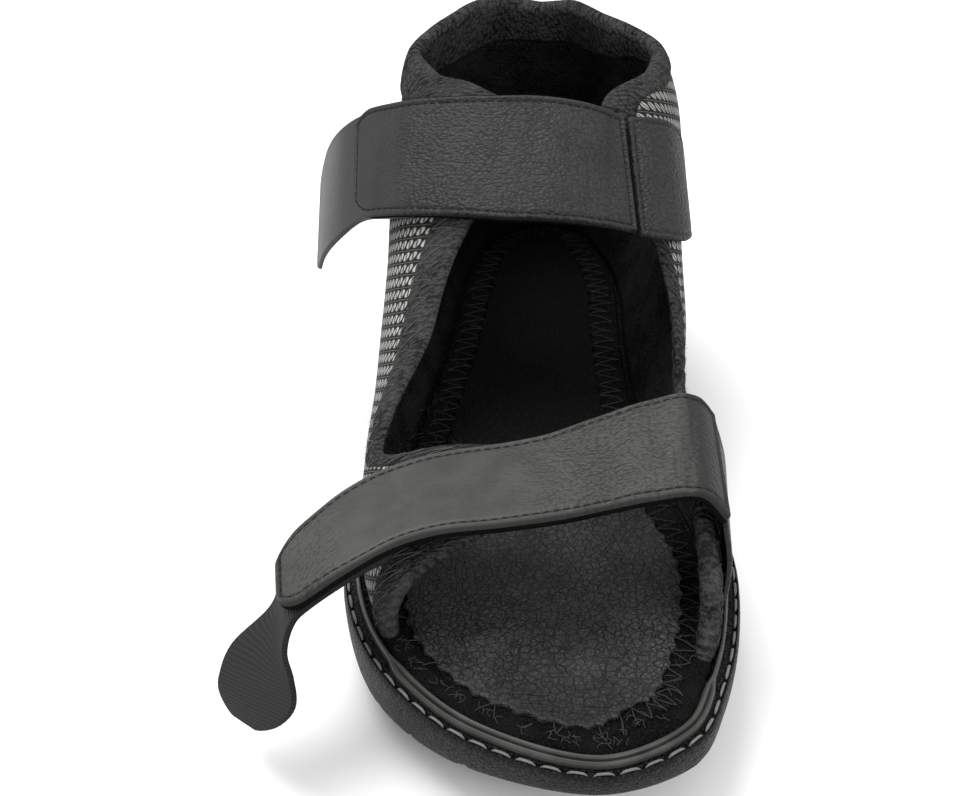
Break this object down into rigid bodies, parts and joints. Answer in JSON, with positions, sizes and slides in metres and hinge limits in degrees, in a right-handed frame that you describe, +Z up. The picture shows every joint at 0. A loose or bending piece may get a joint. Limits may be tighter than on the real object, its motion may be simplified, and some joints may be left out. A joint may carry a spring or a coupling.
{
  "type": "bunion shoe",
  "caption": "Open-toe bunion shoe for a right foot: thick rubber sole, knit-mesh upper with a high collar, two hook-and-loop straps over the instep.",
  "frame": {"origin": "on the floor under the middle of the sole's length, on the line through the middle of the heel", "axes": "-Y to the toe, +X to the medial (big toe) side, +Z up"},
  "size_m": [0.1346, 0.275, 0.1238],
  "materials": {
    "sole_rubber": "pebbled, dull",
    "welt_rubber": "smooth, half gloss",
    "lining": "fuzzy knit",
    "footbed_leather": "crackled grain",
    "knit_mesh": "coarse knit of light ovals on dark ground",
    "panel_leather": "smooth, half matte",
    "strap_leather": "fine grain, half matte",
    "hook_tape": "ribbed woven tape"
  },
  "bodies": {
    "root": {"outsole": "sole_rubber", "welt": "welt_rubber", "insole": "lining", "insole_cover": "footbed_leather", "upper": "knit_mesh", "binding": "lining", "heel_panel": "panel_leather", "ankle_patch": "strap_leather", "ankle_strap": "strap_leather", "ankle_tape": "hook_tape", "forefoot_patch": "strap_leather", "forefoot_strap": "strap_leather", "forefoot_tape": "hook_tape"}
  },
  "joints": []
}
